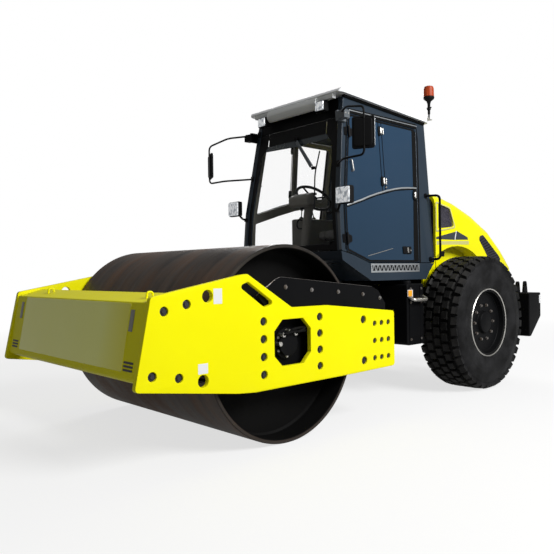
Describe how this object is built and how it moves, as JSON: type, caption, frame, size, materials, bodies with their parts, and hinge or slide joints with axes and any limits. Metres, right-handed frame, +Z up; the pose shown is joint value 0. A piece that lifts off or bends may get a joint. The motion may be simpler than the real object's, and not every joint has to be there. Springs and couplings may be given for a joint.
{
  "type": "single-drum soil roller",
  "caption": "Articulated soil compactor: one smooth steel drum in a plate frame in front, a closed cab, a rear engine hood and two lugged tyres.",
  "frame": {"origin": "on the ground under the middle of the machine's outer box; the drum axle is 1.5 m ahead of it", "axes": "+X forward, towards the drum; +Y to the operator's left; +Z up"},
  "size_m": [5.6853, 2.38, 3.33],
  "materials": {
    "frame_yellow": "gloss",
    "hood_yellow": "gloss",
    "frame_black": "satin",
    "cab_paint": "satin",
    "drum_steel": "worn, lightly rusted",
    "bright_metal": "satin",
    "chrome": "polished",
    "tyre": "matte",
    "rubber": "matte",
    "black_plastic": "matte",
    "roof_white": "gloss",
    "seat_fabric": "woven",
    "cab_glass": "tinted",
    "clear_glass": "clear",
    "lamp_glass": "clear",
    "beacon_orange": "translucent",
    "mirror_glass": "polished"
  },
  "bodies": {
    "rear_frame": {"rear_yoke": "frame_black", "rear_chassis": "frame_black", "rear_axle": "frame_black", "engine_block": "frame_black", "cab_platform": "frame_black", "tank_left": "black_plastic", "tank_right": "black_plastic", "step_left": "bright_metal", "step_right": "bright_metal", "counterweight": "frame_black", "cab_tub": "cab_paint", "cab_side_frame_left": "cab_paint", "cab_side_frame_right": "cab_paint", "windscreen": "clear_glass", "cab_front_header": "cab_paint", "cab_rear_wall": "cab_paint", "rear_window": "clear_glass", "cab_rear_header": "cab_paint", "cab_roof": "roof_white", "roof_visor": "roof_white", "headlamp_left": "lamp_glass", "headlamp_right": "lamp_glass", "mirror_left": "black_plastic", "mirror_right": "black_plastic", "handrail_left": "frame_black", "handrail_right": "frame_black", "beacon": "beacon_orange", "seat_base": "black_plastic", "seat_cushion": "seat_fabric", "seat_backrest": "seat_fabric", "side_console": "black_plastic", "steering_column": "black_plastic", "steering_wheel": "rubber"},
    "centre_joint": {"centre_joint": "frame_black"},
    "drum_frame": {"side_plate_left": "frame_yellow", "side_plate_right": "frame_yellow", "drum_cover_left": "frame_black", "drum_cover_right": "frame_black", "front_beam": "frame_yellow", "rear_beam": "frame_black", "scraper_front": "frame_black", "scraper_rear": "frame_black", "drum_carrier_left": "frame_black", "drum_carrier_right": "frame_black"},
    "drum": {"drum_shell": "drum_steel"},
    "wheel_left": {"tyre_left": "tyre", "rim_left": "frame_black"},
    "wheel_right": {"tyre_right": "tyre", "rim_right": "frame_black"},
    "left_door": {"door_left": "cab_paint", "door_glass_left": "cab_glass"},
    "right_door": {"door_right": "cab_paint", "door_glass_right": "cab_glass"},
    "engine_hood": {"hood": "hood_yellow"},
    "barrel_left": {"steering_barrel_left": "frame_black"},
    "barrel_right": {"steering_barrel_right": "frame_black"},
    "rod_left": {"steering_rod_left": "chrome"},
    "rod_right": {"steering_rod_right": "chrome"}
  },
  "joints": [
    {"name": "steering", "type": "hinge", "parent": "rear_frame", "child": "centre_joint", "pos_m": [0, 0, 0.7], "axis": [0, 0, 1], "range_deg": [-35, 35]},
    {"name": "oscillation", "type": "hinge", "parent": "centre_joint", "child": "drum_frame", "pos_m": [0.1, 0, 0.7], "axis": [1, 0, 0], "range_deg": [-10, 10]},
    {"name": "drum_roll", "type": "hinge", "parent": "drum_frame", "child": "drum", "pos_m": [1.5, 0, 0.755], "axis": [0, 1, 0], "continuous": true},
    {"name": "wheel_left_roll", "type": "hinge", "parent": "rear_frame", "child": "wheel_left", "pos_m": [-1.48, 0.89, 0.72], "axis": [0, 1, 0], "continuous": true},
    {"name": "wheel_right_roll", "type": "hinge", "parent": "rear_frame", "child": "wheel_right", "pos_m": [-1.48, -0.89, 0.72], "axis": [0, 1, 0], "continuous": true},
    {"name": "door_left_swing", "type": "hinge", "parent": "rear_frame", "child": "left_door", "pos_m": [0.4, 0.721, 1.52], "axis": [0.0346, 0.0777, -0.9964], "range_deg": [0, 70]},
    {"name": "door_right_swing", "type": "hinge", "parent": "rear_frame", "child": "right_door", "pos_m": [0.4, -0.721, 1.52], "axis": [-0.0346, 0.0777, 0.9964], "range_deg": [0, 70]},
    {"name": "hood_tilt", "type": "hinge", "parent": "rear_frame", "child": "engine_hood", "pos_m": [-2.78, 0, 1.09], "axis": [0, -1, 0], "range_deg": [0, 50]},
    {"name": "barrel_left_swing", "type": "hinge", "parent": "rear_frame", "child": "barrel_left", "pos_m": [-0.45, 0.3, 0.7], "axis": [0, 0, 1], "range_deg": [-8, 8]},
    {"name": "barrel_right_swing", "type": "hinge", "parent": "rear_frame", "child": "barrel_right", "pos_m": [-0.45, -0.3, 0.7], "axis": [0, 0, 1], "range_deg": [-8, 8]},
    {"name": "rod_left_stroke", "type": "slide", "parent": "barrel_left", "child": "rod_left", "axis": [0.9868, -0.1618, 0], "range_m": [-0.14, 0.14]},
    {"name": "rod_right_stroke", "type": "slide", "parent": "barrel_right", "child": "rod_right", "axis": [0.9868, 0.1618, 0], "range_m": [-0.14, 0.14]}
  ],
  "couplings": [
    {"joint": "barrel_left_swing", "follows": "steering", "ratio": 0.181},
    {"joint": "barrel_right_swing", "follows": "steering", "ratio": 0.181},
    {"joint": "rod_left_stroke", "follows": "steering", "m_per_rad": -0.2158},
    {"joint": "rod_right_stroke", "follows": "steering", "m_per_rad": 0.2158}
  ]
}
